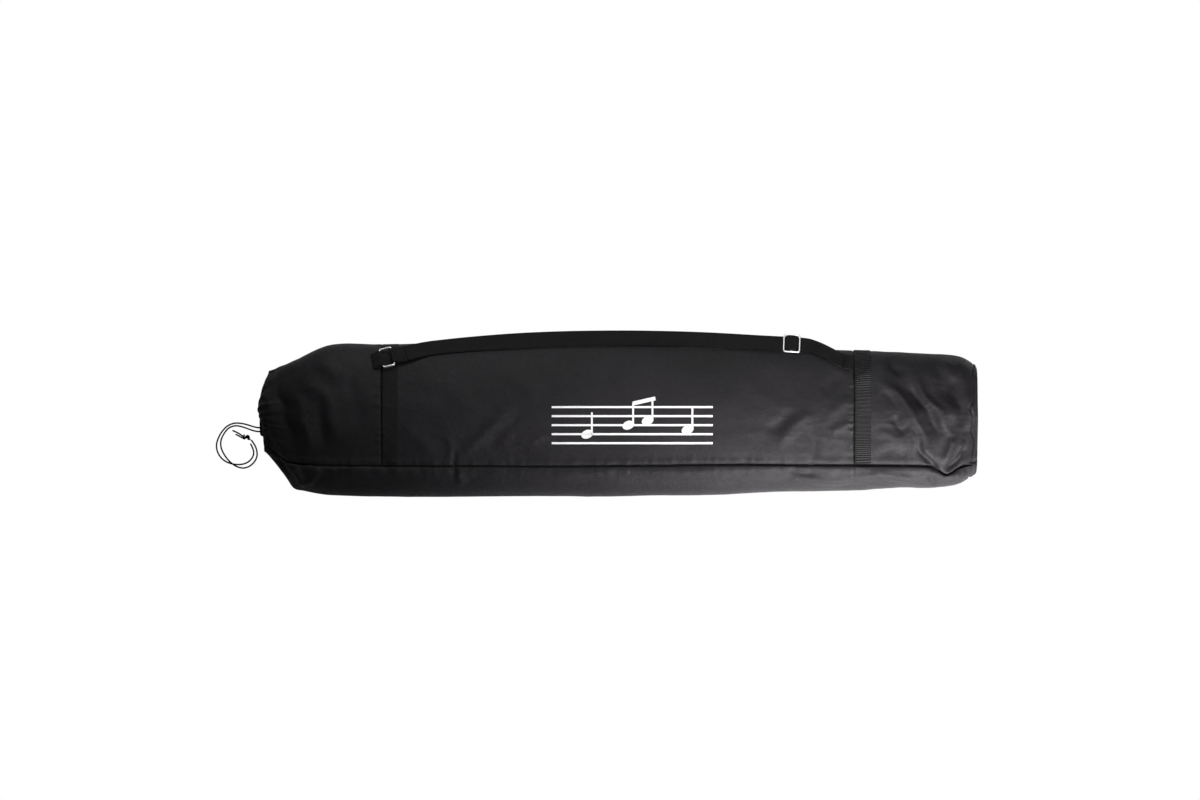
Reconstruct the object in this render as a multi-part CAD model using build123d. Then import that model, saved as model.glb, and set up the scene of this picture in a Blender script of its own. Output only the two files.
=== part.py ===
"""Drawstring carry bag for stands, lying on its back panel, in millimetres.

+X runs along the bag from the drawn mouth to the sewn base, +Y points to the side that carries the shoulder
strap, and +Z points up out of the front panel. The origin is on the surface that the bag lies on, under the
middle of the bag and its strap.
"""

import math
import os

from build123d import *

# ---------------------------------------------------------------- driving dimensions
CLOTH = 1.2  # coated cloth with its lining
WEB = 1.2  # thickness of one layer of webbing
WEB_WIDTH = 25.4  # inch webbing
SKIN_GAP = 0.15  # between pieces that lie on each other
SEAM_GAP = 0.2  # between two panels where they are sewn together
FLOOR = WEB + SKIN_GAP  # height of the back panel, which lies on the girth webbing
BINDING, BINDING_THICK = 8.0, 1.0  # tape that binds the seam allowances inside

MOUTH_SEAM_X = -368.0  # girth seam between the mouth panel and the middle panel
BASE_SEAM_X = 367.0  # girth seam between the middle panel and the base panel

# Sections across the bag: x, lowest y, highest y, height of the underside over FLOOR, height of the top, y of
# the front seam.
STATIONS = [
    (-550.0, -50.0, 61.0, 5.0, 74.0, -41.0),
    (-538.0, -72.0, 67.0, 0.0, 81.0, -59.0),
    (-518.0, -100.5, 74.0, 0.0, 91.0, -71.5),
    (-506.0, -116.0, 80.5, 0.0, 96.0, -76.5),
    (-480.0, -123.5, 95.0, 0.0, 104.0, -78.5),
    (-455.0, -128.0, 107.0, 0.0, 107.0, -79.5),
    (-430.0, -129.0, 111.0, 0.0, 109.0, -80.0),
    (-400.0, -129.5, 110.2, 0.0, 110.0, -80.0),
    (MOUTH_SEAM_X, -129.5, 109.0, 0.0, 110.0, -80.5),
    (-180.0, -130.0, 113.0, 0.0, 111.0, -81.0),
    (0.0, -129.0, 114.0, 0.0, 111.0, -80.0),
    (190.0, -125.0, 110.0, 0.0, 109.0, -78.0),
    (BASE_SEAM_X, -119.5, 97.0, 0.0, 104.0, -78.5),
    (440.0, -116.5, 94.0, 0.0, 101.0, -79.0),
    (502.0, -115.0, 90.0, 0.0, 98.0, -80.0),
    (533.0, -109.5, 88.0, 0.0, 94.0, -82.0),
    (547.0, -101.0, 82.5, 4.0, 88.0, -77.0),
    (557.0, -88.0, 67.0, 9.0, 79.0, -66.0),
]

MOUTH_Y, MOUTH_Z = -12.0, 38.0  # centre of the drawn mouth
MOUTH_RADIUS = 14.0  # of the hole that the drawstring leaves
CHANNEL_RADIUS = 4.5  # of the hem that the drawstring runs in
CORD = 2.5  # diameter of the drawstring
EXIT_ANGLE, EXIT_HALF = 225.0, 13.0  # where the two ends leave the channel, in degrees from +Y towards +Z

RING_WIRE = 3.0
RING_ACROSS, RING_ALONG = 34.0, 21.0  # outside size of the rectangular ring
RING_X, RING_Y = -359.0, 88.5
RING_HEADING, RING_TILT, RING_LIFT = 14.0, 26.0, 6.4
RING_REACH = 16.0  # length of the end that turns round the ring
TAB_REACH, TAB_DROP = 15.0, 1.4  # length of the sewn legs of the tab, and how far they come down to the cloth

# The strap's centre line: x, y, tilt in degrees with the outer edge lower, least clearance over the bag.
STRAP = [
    (-300.0, 101.8, 31.0, 0.6),
    (-272.0, 105.6, 33.0, 0.5),
    (-230.0, 109.6, 30.0, 0.5),
    (-180.0, 113.0, 24.0, 0.8),
    (-135.0, 115.4, 20.0, 0.5),
    (-90.0, 117.0, 17.0, 0.5),
    (-45.0, 117.8, 15.0, 0.5),
    (0.0, 118.0, 14.0, 0.5),
    (45.0, 117.8, 15.0, 0.5),
    (95.0, 117.0, 18.0, 1.7),
    (150.0, 115.4, 24.0, 3.1),
    (286.0, 107.6, 24.0, 2.7),
    (305.0, 104.4, 32.0, 1.4),
    (325.0, 96.8, 40.0, 1.0),
    (341.0, 87.8, 34.0, 0.7),
    (352.0, 82.6, 29.0, 0.3),
    (366.4, 79.2, 27.0, 0.3),
]
RUN_START, RUN_END = 11, 12  # the straight run of the strap that the slider moves on
SEWN_START = 16

SLIDER_WIRE = 2.4
SLIDER_ACROSS, SLIDER_ALONG = 31.0, 27.0  # outside size of the slider
SLIDER_X = 270.5

# The two ends of the drawstring, from the channel to the knot.
STRAND_A = [
    (-557.0, -27.7, 28.2),
    (-565.0, -27.3, 26.4),
    (-573.0, -25.4, 20.0),
    (-582.5, -22.0, 10.4),
    (-591.5, -19.2, 3.8),
    (-601.0, -18.0, 1.5),
    (-611.2, -21.9, 1.4),
    (-618.4, -31.5, 1.4),
    (-623.1, -42.0, 1.4),
    (-622.6, -52.6, 1.4),
    (-618.8, -61.2, 1.8),
    (-613.6, -69.2, 3.6),
    (-607.2, -76.0, 4.6),
    (-598.9, -82.2, 4.4),
    (-588.0, -85.4, 1.8),
    (-578.0, -82.6, 1.4),
    (-570.4, -76.0, 1.4),
    (-565.6, -67.4, 1.4),
    (-565.9, -57.3, 1.4),
    (-569.6, -47.6, 1.8),
    (-575.0, -40.6, 2.6),
]
STRAND_B = [
    (-557.0, -21.8, 22.3),
    (-565.0, -21.2, 20.4),
    (-573.0, -19.2, 14.4),
    (-582.5, -16.2, 6.6),
    (-591.5, -14.4, 2.0),
    (-602.0, -14.0, 1.4),
    (-612.5, -18.3, 1.4),
    (-621.2, -27.4, 1.4),
    (-626.6, -37.4, 1.4),
    (-630.0, -48.0, 1.4),
    (-628.4, -59.0, 1.4),
    (-623.0, -68.4, 1.4),
    (-614.6, -75.2, 1.4),
    (-604.0, -78.6, 1.4),
    (-592.7, -79.6, 1.4),
    (-582.5, -77.2, 1.4),
    (-575.0, -71.6, 1.4),
    (-570.8, -63.6, 1.4),
    (-571.6, -54.6, 1.4),
    (-576.2, -46.4, 1.8),
]
KNOT = (-581.4, -36.0, 4.2)
KNOT_TURN = 156.0  # direction of the tails, in degrees from +X
TAILS = [
    [(-587.8, -34.9, 3.6), (-595.0, -30.2, 2.2), (-604.4, -25.6, 1.4)],
    [(-587.4, -38.1, 2.9), (-593.2, -35.0, 1.6), (-599.6, -31.6, 1.4)],
]

EMBLEM_X, EMBLEM_Y = 22.0, -17.0
STAVE_LENGTH, STAVE_SPACING, STAVE_LINE = 250.0, 14.0, 3.2
INK = 0.25


# ---------------------------------------------------------------- the bag's outlines
def key_curves(station):
    """The wrap, from the back seam over the strap side to the front seam, and the gusset back again."""
    x, low, high, under, top, seam = station
    bottom = FLOOR + under
    tall, wide = top - bottom, high - low
    front = (x, seam, bottom + (0.747 + 0.002 * (seam - low)) * tall)
    back = (x, low + 0.11 * wide, bottom)
    turn = (x, high - 0.22 * wide, bottom)
    floor = Line(back, turn)
    over = Spline(
        turn,
        (x, high - 0.10 * wide, bottom + 0.055 * tall),
        (x, high - 0.018 * wide, bottom + 0.24 * tall),
        (x, high, bottom + 0.48 * tall),
        (x, high - 0.04 * wide, bottom + 0.76 * tall),
        (x, high - 0.16 * wide, bottom + 0.915 * tall),
        (x, low + 0.60 * wide, top),
        (x, 0.5 * (front[1] + low + 0.60 * wide), bottom + 0.955 * tall),
        front,
    )
    side = Spline(
        front,
        (x, low + 0.27 * (front[1] - low), bottom + 0.68 * tall),
        (x, low, bottom + 0.40 * tall),
        (x, low + 0.035 * wide, bottom + 0.14 * tall),
        back,
    )
    return floor, over, side


def outward(curve, t):
    along = curve % t
    return Vector(0, along.Z, -along.Y)


def sampled(curve, count):
    return [(curve @ (i / count), outward(curve, i / count)) for i in range(count + 1)]


def wrap_points(station):
    floor, over, _ = key_curves(station)
    return sampled(floor, 3)[:-1] + sampled(over, 26)


def gusset_points(station):
    return sampled(key_curves(station)[2], 12)


OUTLINES = {
    kind: [(station[0], make(station)) for station in STATIONS]
    for kind, make in (("wrap", wrap_points), ("gusset", gusset_points))
}


def blend(a, b, t):
    """A list of points and directions part of the way from a to b."""
    return [(p + (q - p) * t, m + (n - m) * t) for (p, m), (q, n) in zip(a, b)]


def outline_at(kind, x):
    """The outline at any x; between two sections the bag is ruled."""
    rows = OUTLINES[kind]
    for (xa, a), (xb, b) in zip(rows, rows[1:]):
        if xa <= x <= xb:
            return blend(a, b, (x - xa) / (xb - xa))
    raise ValueError(f"no section at {x}")


def part_of(line, start, end):
    """The part of an outline between two distances along it; a negative distance counts from the far end."""
    far = [0.0]
    for (p, _), (q, _) in zip(line, line[1:]):
        far.append(far[-1] + (q - p).length)
    start, end = (d + far[-1] if d < 0 else d for d in (start, end))
    cut = []
    for i, (d0, d1) in enumerate(zip(far, far[1:])):
        for d in (start, end):
            if d0 <= d < d1:
                cut.append((d, blend([line[i]], [line[i + 1]], (d - d0) / (d1 - d0))[0]))
        if start < d1 < end:
            cut.append((d1, line[i + 1]))
    return [item for _, item in sorted(cut, key=lambda pair: pair[0])]


def rows_between(kind, start, end):
    """The outlines from one x to another, both included."""
    inside = [x for x, _ in OUTLINES[kind] if start + 0.01 < x < end - 0.01]
    return [outline_at(kind, x) for x in (start, *inside, end)]


def polygon(points):
    return Face(Wire(Polyline(*points, close=True)))


def layer(kind, start, end, inner, outer, trim=(0.0, -0.001)):
    """A sheet that follows an outline, filling the space from inner to outer over the cloth's outside."""
    faces = []
    for row in rows_between(kind, start, end):
        row = part_of(row, *trim)
        far = [p + n * outer for p, n in row]
        near = [p + n * inner for p, n in row]
        faces.append(polygon(far + near[::-1]))
    return Solid(loft(faces, ruled=True).wrapped)


def closed_section(x, inset):
    """The whole section at x, made smaller all round by inset."""
    wrap = [p - n * inset for p, n in part_of(outline_at("wrap", x), 2 * inset + 0.1, -2 * inset - 0.1)]
    gusset = [p - n * inset for p, n in part_of(outline_at("gusset", x), 2 * inset + 0.1, -2 * inset - 0.1)]
    return polygon(wrap + gusset)


def surface_at(x, y):
    """The height of the front of the bag at x, y, and how steeply it falls towards +Y, in degrees."""
    row = [p for p, _ in outline_at("wrap", x)]
    high = [p for p in row if p.Z > 45.0]
    for p, q in zip(high, high[1:]):
        if q.Y <= y <= p.Y:
            z = p.Z + (q.Z - p.Z) * (y - p.Y) / (q.Y - p.Y)
            return z, math.degrees(math.atan2(q.Z - p.Z, p.Y - q.Y))
    raise ValueError(f"no surface at {x}, {y}")


def outline_edge(x):
    """How far the bag reaches towards +Y at x, less a little."""
    return max(p.Y for p, _ in outline_at("wrap", x)) - 2.0


# ---------------------------------------------------------------- panels, webbing and bindings
def panels():
    mouth_end, base_end = STATIONS[0][0], STATIONS[-1][0]
    seams = [mouth_end, MOUTH_SEAM_X, BASE_SEAM_X, base_end]
    names = ["mouth_panel", "middle_panel", "base_panel"]
    half = SEAM_GAP / 2
    made = {}
    for name, start, end in zip(names, seams, seams[1:]):
        made[name] = layer("wrap", start + half, end - half, -CLOTH, 0.0)
    made["gusset_panel"] = layer("gusset", mouth_end + half, base_end - half, -CLOTH, 0.0, (2.1, -2.1))
    made["end_panel"] = extrude(closed_section(base_end, 0.0), amount=CLOTH, dir=(1, 0, 0))
    gathers = extrude(closed_section(mouth_end, 0.0), amount=2 * CLOTH, dir=(-1, 0, 0))
    hole = Pos(mouth_end, MOUTH_Y, MOUTH_Z) * Rot(0, 90, 0) * Cylinder(MOUTH_RADIUS + CHANNEL_RADIUS, 20)
    made["mouth_gathers"] = gathers - hole
    return made


def girth_webbing():
    start, end = SKIN_GAP, SKIN_GAP + WEB
    x = {"mouth_girth_webbing": MOUTH_SEAM_X + 0.6, "base_girth_webbing": BASE_SEAM_X + 0.6}
    return {name: layer("wrap", x0, x0 + WEB_WIDTH, start, end, (2.0, -2.0)) for name, x0 in x.items()}


def bindings():
    """Tapes inside the bag, over the raw edges of the seams."""
    outer = -CLOTH - SKIN_GAP
    inner = outer - BINDING_THICK
    clear = 2.0 + BINDING + 1.0
    made = {}
    for name, x in (("mouth_seam_binding", MOUTH_SEAM_X), ("base_seam_binding", BASE_SEAM_X)):
        made[name] = layer("wrap", x - BINDING / 2, x + BINDING / 2, inner, outer, (clear, -clear))
    start, end = STATIONS[1][0], STATIONS[-3][0] - 1.0
    made["back_gusset_binding"] = layer("wrap", start, end, inner, outer, (3.0, 3.0 + BINDING))
    made["front_gusset_binding"] = layer("wrap", start, end, inner, outer, (-3.0 - BINDING, -3.0))
    x = STATIONS[-1][0] - CLOTH - BINDING
    made["end_seam_binding"] = layer("wrap", x, x + BINDING, inner, outer, (clear, -clear))
    return made


# ---------------------------------------------------------------- the drawn mouth
def about_mouth(radius, angle, x):
    turn = math.radians(angle)
    return (x, MOUTH_Y + radius * math.cos(turn), MOUTH_Z + radius * math.sin(turn))


def arc_tube(radius, start, end, diameter, x):
    """A tube bent round the mouth's centre from one angle to another."""
    middle = (start + end) / 2
    path = ThreePointArc(*(about_mouth(radius, angle, x) for angle in (start, middle, end)))
    return sweep(Plane(origin=path @ 0, z_dir=path % 0) * Circle(diameter / 2), path=path)


def channel_and_cord():
    x = STATIONS[0][0] - 2 * CLOTH - CHANNEL_RADIUS - 0.1
    radius = MOUTH_RADIUS + CHANNEL_RADIUS
    ring = Plane(origin=(x, MOUTH_Y, MOUTH_Z), x_dir=(0, 1, 0), z_dir=(1, 0, 0))
    hem = ring * Torus(radius, CHANNEL_RADIUS)
    bore = ring * Torus(radius, CORD / 2 + SKIN_GAP)
    exit_plane = Plane(origin=about_mouth(radius, EXIT_ANGLE, x), x_dir=(-1, 0, 0), z_dir=(0, 1, 1))
    slot = exit_plane * Pos(3.0, 0, 0) * Box(9.2, 13.0, 4.6)
    gap = math.degrees(1.8 / radius) + EXIT_HALF
    cord = arc_tube(radius, EXIT_ANGLE + gap, EXIT_ANGLE + 360.0 - gap, CORD, x)
    return {"drawstring_channel": hem - bore - slot, "drawstring": cord}


# ---------------------------------------------------------------- loose cord
def bend_radii(points):
    """The radius of each bend: as wide as the shorter run beside it allows."""
    v = [Vector(*p) for p in points]
    radii = []
    for a, b, c in zip(v, v[1:], v[2:]):
        turn = math.radians((b - a).get_angle(c - b))
        radii.append(0.45 * min((b - a).length, (c - b).length) / math.tan(turn / 2))
    return radii


def cord(points):
    """A tube along points with every corner rounded."""
    path = FilletPolyline(*points, radius=bend_radii(points))
    return sweep(Plane(origin=path @ 0, z_dir=path % 0) * Circle(CORD / 2), path=path), path.length


def knot():
    """A pulled-up overhand knot tied with both ends of the drawstring: three turns round a core."""
    core = Rot(0, 90, 0) * Cylinder(1.9, 11.0)
    parts = core
    for x, lean in ((-3.1, 14), (0.0, -10), (3.1, 14)):
        parts += Pos(x, 0, 0) * Rot(0, 90 + lean, 0) * Torus(2.5, CORD / 2)
    return Pos(*KNOT) * Rot(0, 0, KNOT_TURN) * parts


# ---------------------------------------------------------------- shoulder strap
def frame_at(x, y, z, heading, tilt):
    """Local axes on the strap: x along it, y across it towards the outer edge, z out of its face."""
    a, t = math.radians(heading), math.radians(tilt)
    along = Vector(math.cos(a), math.sin(a), 0)
    normal = Vector(-math.sin(a) * math.sin(t), math.cos(a) * math.sin(t), math.cos(t))
    return Plane(origin=(x, y, z), x_dir=along, z_dir=normal)


def rest_height(x, y, heading, tilt):
    """The lowest centre of a strap that touches the bag somewhere across its width."""
    a, t = math.radians(heading), math.radians(tilt)
    heights = []
    for i in range(-6, 7):
        across = WEB_WIDTH / 2 * i / 6
        px, py = x - across * math.cos(t) * math.sin(a), y + across * math.cos(t) * math.cos(a)
        if py < outline_edge(px):
            heights.append(surface_at(px, py)[0] + across * math.sin(t))
    return max(heights)


def strap_frames():
    """A local frame at each point of the strap's centre line, under the lower layer."""
    ring = ring_frame()
    start = ring.from_local_coords(Vector((RING_ALONG - RING_WIRE) / 2 + RING_REACH + 0.2, 0, -WEB - SKIN_GAP / 2))
    frames = [Plane(origin=start, x_dir=ring.x_dir, z_dir=ring.z_dir)]
    line = [(start.X, start.Y), *(row[:2] for row in STRAP), (STRAP[-1][0] + 10.0, STRAP[-1][1] - 2.2)]
    for i, (x, y, tilt, lift) in enumerate(STRAP, start=1):
        before, after = line[i - 1], line[i + 1]
        if i in (RUN_START, RUN_END):
            before, after = line[RUN_START], line[RUN_END]
        heading = math.degrees(math.atan2(after[1] - before[1], after[0] - before[0]))
        frames.append(frame_at(x, y, rest_height(x, y, heading, tilt) + lift, heading, tilt))
    return frames


def ring_frame():
    """The middle of the ring's wire, with x along the strap."""
    z, _ = surface_at(RING_X, RING_Y)
    return frame_at(RING_X, RING_Y, z + RING_LIFT, RING_HEADING, RING_TILT)


def band(rows):
    """A ruled strip of webbing through (frame, low, high) sections."""
    faces = []
    for frame, low, high in rows:
        half = WEB_WIDTH / 2
        corners = [(0, -half, low), (0, half, low), (0, half, high), (0, -half, high)]
        faces.append(polygon([frame.from_local_coords(Vector(*c)) for c in corners]))
    return Solid(loft(faces, ruled=True).wrapped)


def turned_end(frame, bar_x, direction, reach, drop):
    """Webbing that turns round a bar of the ring and comes back on itself, drawn in the ring's frame."""
    inner = RING_WIRE / 2 + SKIN_GAP
    outer = inner + WEB
    far, neck, gap = direction * reach, direction * 4.5, SKIN_GAP / 2
    upper = [(0, outer), (neck, outer - 0.6), (far, gap + WEB - drop)]
    under = [(far, gap - drop), (neck, inner - 0.6), (0, inner)]
    flip = [(0, -inner), (neck, 0.6 - inner - 0.3 * drop), (far, -gap - drop)]
    back = [(far, -gap - WEB - drop), (neck, 0.6 - outer - 0.3 * drop), (0, -outer)]
    edges = [
        Polyline(*upper, *under),
        ThreePointArc((0, inner), (-direction * inner, 0), (0, -inner)),
        Polyline(*flip, *back),
        ThreePointArc((0, -outer), (-direction * outer, 0), (0, outer)),
    ]
    section = Face(Wire([e for edge in edges for e in edge.edges()]))
    plane = Plane(
        origin=frame.from_local_coords(Vector(bar_x, 0, 0)), x_dir=frame.x_dir, z_dir=-frame.y_dir
    )
    return extrude(plane * section, amount=WEB_WIDTH / 2, both=True)


def wire_frame(along, across, wire, radius):
    """A rectangle of round wire lying in its own plane."""
    path = Wire(RectangleRounded(along - wire, across - wire, radius).edges())
    return sweep(Plane(origin=path @ 0, z_dir=path % 0) * Circle(wire / 2), path=path)


def strap_parts():
    frames = strap_frames()
    step = WEB + SKIN_GAP
    ring = ring_frame()
    upper = [(f, step, step + WEB) for f in frames[: RUN_END + 1]]
    single = [(f, 0.0, WEB) for f in frames[RUN_END + 1 : SEWN_START + 1]]
    a, b = frames[RUN_START], frames[RUN_END]
    t = (SLIDER_X - 8.0 - a.origin.X) / (b.origin.X - a.origin.X)
    stop = Plane(origin=a.origin + (b.origin - a.origin) * t, x_dir=a.x_dir, z_dir=a.z_dir)
    lower = [(f, 0.0, WEB) for f in [*frames[: RUN_START + 1], stop]]
    bar = (RING_ALONG - RING_WIRE) / 2
    sewn = [(f, 0.0, WEB) for f in frames[SEWN_START:]]
    last = sewn[0][0]
    sewn[0] = (Plane(origin=last.origin + last.x_dir * 0.2, x_dir=last.x_dir, z_dir=last.z_dir), 0.0, WEB)
    return {
        "shoulder_strap_main": band(upper + single),
        "shoulder_strap_return": band(lower),
        "strap_ring_bight": turned_end(ring, bar, 1, RING_REACH, 0.0),
        "strap_sewn_end": band(sewn),
        "ring_tab": turned_end(ring, -bar, -1, TAB_REACH, TAB_DROP),
        "strap_ring": ring * wire_frame(RING_ALONG, RING_ACROSS, RING_WIRE, 2.4),
    }


def slider_frame_plane():
    """The middle of the slider's wire, resting on the upper layer of the strap."""
    frames = strap_frames()
    a, b = frames[RUN_START], frames[RUN_END]
    along = (b.origin - a.origin).normalized()
    origin = a.origin + (b.origin - a.origin) * ((SLIDER_X - a.origin.X) / (b.origin.X - a.origin.X))
    lift = 2 * WEB + 3 * SKIN_GAP + SLIDER_WIRE / 2
    return Plane(origin=origin + a.z_dir * lift, x_dir=along, z_dir=along.cross(a.y_dir))


def slider_parts():
    plane = slider_frame_plane()
    radius = SLIDER_WIRE / 2
    hump_low, hump_high = -radius, radius + SKIN_GAP
    profile = [
        (-9.8, hump_low), (-7.6, hump_low), (-3.4, hump_high), (3.4, hump_high), (7.6, hump_low), (9.8, hump_low),
        (9.8, hump_low + WEB), (8.2, hump_low + WEB), (4.0, hump_high + WEB), (-4.0, hump_high + WEB),
        (-8.2, hump_low + WEB), (-9.8, hump_low + WEB),
    ]
    side = Plane(origin=plane.origin, x_dir=plane.x_dir, z_dir=-plane.y_dir)
    section = Face(Wire(Polyline(*profile, close=True)))
    inside = SLIDER_ACROSS - 2 * SLIDER_WIRE - 0.1
    return {
        "slider_frame": plane * wire_frame(SLIDER_ALONG, SLIDER_ACROSS, SLIDER_WIRE, 3.0),
        "slider_crossbar": plane * Rot(90, 0, 0) * Cylinder(radius, inside),
        "slider_webbing_hump": extrude(side * section, amount=WEB_WIDTH / 2, both=True),
    }


# ---------------------------------------------------------------- printed emblem
def note(x, y, tall):
    """A quaver without its beam: an oval head and a stem."""
    head = Pos(x, y) * Rot(0, 0, 22) * Ellipse(9.5, 6.6)
    stem = Pos(x + 7.4, y + tall / 2) * Rectangle(2.8, tall)
    return head + stem


def printed_emblem():
    """A printed stave with four notes, lying on the front panel."""
    sheet = Sketch()
    for i in range(-2, 3):
        sheet += Pos(0, i * STAVE_SPACING) * Rectangle(STAVE_LENGTH, STAVE_LINE)
    for x, y in ((-70.0, -14.0), (-6.0, 0.0), (24.0, 7.0), (86.0, -7.0)):
        sheet += note(x, y, 34.0)
    sheet += Pos(18.4, 37.5) * Rot(0, 0, 13) * Rectangle(36.0, 6.0)
    stamp = extrude(Pos(EMBLEM_X, EMBLEM_Y, 80.0) * sheet, amount=50.0)
    half = STAVE_LENGTH / 2 + 5.0
    skin = layer("wrap", EMBLEM_X - half, EMBLEM_X + half, SKIN_GAP, SKIN_GAP + INK)
    return skin & stamp


# ---------------------------------------------------------------- assembly
def make_parts():
    nodes = {**panels(), **girth_webbing(), **bindings(), **channel_and_cord(), **strap_parts(), **slider_parts()}
    for name, points in (("drawstring_strand_a", STRAND_A), ("drawstring_strand_b", STRAND_B)):
        nodes[name], length = cord(points)
        radii = bend_radii(points)
        print(f"{name}: length {length:.1f}, bend radii {min(radii):.1f} to {max(radii):.1f}")
    nodes["drawstring_knot"] = knot()
    nodes["drawstring_tails"] = Compound(children=[cord(points)[0] for points in TAILS])
    nodes["printed_emblem"] = printed_emblem()
    return nodes


def main():
    os.makedirs("parts", exist_ok=True)
    for name, shape in make_parts().items():
        export_step(shape, f"parts/{name}.step")
        print(f"{name}: {shape.volume:.0f} mm3")


if __name__ == "__main__":
    main()
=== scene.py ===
"""Looks of the drawstring carry bag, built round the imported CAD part."""

import math

import bpy
import numpy as np
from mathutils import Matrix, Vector
from mathutils.bvhtree import BVHTree


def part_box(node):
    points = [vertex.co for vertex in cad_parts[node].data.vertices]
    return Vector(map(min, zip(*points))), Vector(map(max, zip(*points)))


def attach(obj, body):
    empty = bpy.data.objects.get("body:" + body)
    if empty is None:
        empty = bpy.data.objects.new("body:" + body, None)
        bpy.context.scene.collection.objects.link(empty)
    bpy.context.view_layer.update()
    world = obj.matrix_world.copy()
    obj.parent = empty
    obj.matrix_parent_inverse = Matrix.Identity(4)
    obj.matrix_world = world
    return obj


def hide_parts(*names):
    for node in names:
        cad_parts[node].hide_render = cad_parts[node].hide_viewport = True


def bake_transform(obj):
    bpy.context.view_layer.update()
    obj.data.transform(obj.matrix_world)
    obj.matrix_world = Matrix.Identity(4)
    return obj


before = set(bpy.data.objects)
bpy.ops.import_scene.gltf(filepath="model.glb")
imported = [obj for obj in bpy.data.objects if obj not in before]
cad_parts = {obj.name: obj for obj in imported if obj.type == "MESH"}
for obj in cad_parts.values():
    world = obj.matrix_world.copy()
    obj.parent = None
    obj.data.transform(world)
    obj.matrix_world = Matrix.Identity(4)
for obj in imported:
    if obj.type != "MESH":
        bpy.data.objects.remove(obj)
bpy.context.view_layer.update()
MM = 0.001

# ---------- sizes shared with the CAD part, in millimetres
MOUTH_END, BASE_END = -550.0, 557.0
MOUTH_SEAM, BASE_SEAM = -368.0, 367.0
MOUTH_CENTRE = (-12.0, 38.0)
HEM_X, CHANNEL_MAJOR, CHANNEL_TUBE = -555.0, 18.5, 4.5
WEB_WIDTH, WEB = 25.4, 1.2
CORD = 2.5
CORE = (0.0, 50.0)  # the line the bag's sections are measured round: y, z
MEAN_RADIUS = 92.0  # of the bag, for lengths of cloth round it
EXIT_ANGLE = 225  # where the drawstring leaves the hem, round the mouth
RING_SIZE, RING_WIRE, RING_BEND = (18.0, 31.0), 3.0, 2.4
SLIDER_SIZE, SLIDER_WIRE, SLIDER_BEND = (24.6, 28.6), 2.4, 3.0
PLY = 0.675  # from the middle of two layers of webbing sewn together to the middle of one
TURN = 2 * math.pi

STRAND_A = [
    (-557, -27.7, 28.2), (-565, -27.3, 26.4), (-573, -25.4, 20), (-582.5, -22, 10.4),
    (-591.5, -19.2, 3.8), (-601, -18, 1.5), (-611.2, -21.9, 1.4), (-618.4, -31.5, 1.4),
    (-623.1, -42, 1.4), (-622.6, -52.6, 1.4), (-618.8, -61.2, 1.8), (-613.6, -69.2, 3.6),
    (-607.2, -76, 4.6), (-598.9, -82.2, 4.4), (-588, -85.4, 1.8), (-578, -82.6, 1.4),
    (-570.4, -76, 1.4), (-565.6, -67.4, 1.4), (-565.9, -57.3, 1.4), (-569.6, -47.6, 1.8),
    (-575, -40.6, 2.6),
]
STRAND_B = [
    (-557, -21.8, 22.3), (-565, -21.2, 20.4), (-573, -19.2, 14.4), (-582.5, -16.2, 6.6),
    (-591.5, -14.4, 2), (-602, -14, 1.4), (-612.5, -18.3, 1.4), (-621.2, -27.4, 1.4),
    (-626.6, -37.4, 1.4), (-630, -48, 1.4), (-628.4, -59, 1.4), (-623, -68.4, 1.4),
    (-614.6, -75.2, 1.4), (-604, -78.6, 1.4), (-592.7, -79.6, 1.4), (-582.5, -77.2, 1.4),
    (-575, -71.6, 1.4), (-570.8, -63.6, 1.4), (-571.6, -54.6, 1.4), (-576.2, -46.4, 1.8),
]
TAILS = [
    [(-585, -36.2, 4.2), (-587.8, -34.9, 3.6), (-595, -30.2, 2.2), (-604.4, -25.6, 1.4)],
    [(-584.6, -39.2, 3.6), (-587.4, -38.1, 2.9), (-593.2, -35, 1.6), (-599.6, -31.6, 1.4)],
]
KNOT, KNOT_TURN = (-581.4, -36, 4.2), 156.0

# The strap's centre line: x, y, tilt with the outer edge lower.
STRAP = [
    (-334.4, 94.1, 26), (-300, 101.8, 31), (-272, 105.6, 33), (-230, 109.6, 30),
    (-180, 113, 24), (-135, 115.4, 20), (-90, 117, 17), (-45, 117.8, 15),
    (0, 118, 14), (45, 117.8, 15), (95, 117, 18), (150, 115.4, 24),
    (218, 111.5, 24), (286, 107.6, 24), (305, 104.4, 32), (325, 96.8, 40),
    (341, 87.8, 34), (352, 82.6, 29), (366.4, 79.2, 27),
]

# Sections of the bag: x, lowest y, highest y, height of the underside and of the top, y of the front seam.
SECTIONS = np.array([
    (-550, -50, 61, 5, 74, -41),
    (-538, -72, 67, 0, 81, -59),
    (-518, -100.5, 74, 0, 91, -71.5),
    (-506, -116, 80.5, 0, 96, -76.5),
    (-480, -123.5, 95, 0, 104, -78.5),
    (-455, -128, 107, 0, 107, -79.5),
    (-430, -129, 111, 0, 109, -80),
    (-400, -129.5, 110.2, 0, 110, -80),
    (-368, -129.5, 109, 0, 110, -80.5),
    (-180, -130, 113, 0, 111, -81),
    (0, -129, 114, 0, 111, -80),
    (190, -125, 110, 0, 109, -78),
    (367, -119.5, 97, 0, 104, -78.5),
    (440, -116.5, 94, 0, 101, -79),
    (502, -115, 90, 0, 98, -80),
    (533, -109.5, 88, 0, 94, -82),
    (547, -101, 82.5, 4, 88, -77),
    (557, -88, 67, 9, 79, -66),
])


# ---------- small helpers
def smoothstep(a, b, x):
    t = np.clip((np.asarray(x, float) - a) / (b - a), 0, 1)
    return t * t * (3 - 2 * t)


def bump(x, centre, width):
    return np.exp(-(((np.asarray(x, float) - centre) / width) ** 2))


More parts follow.
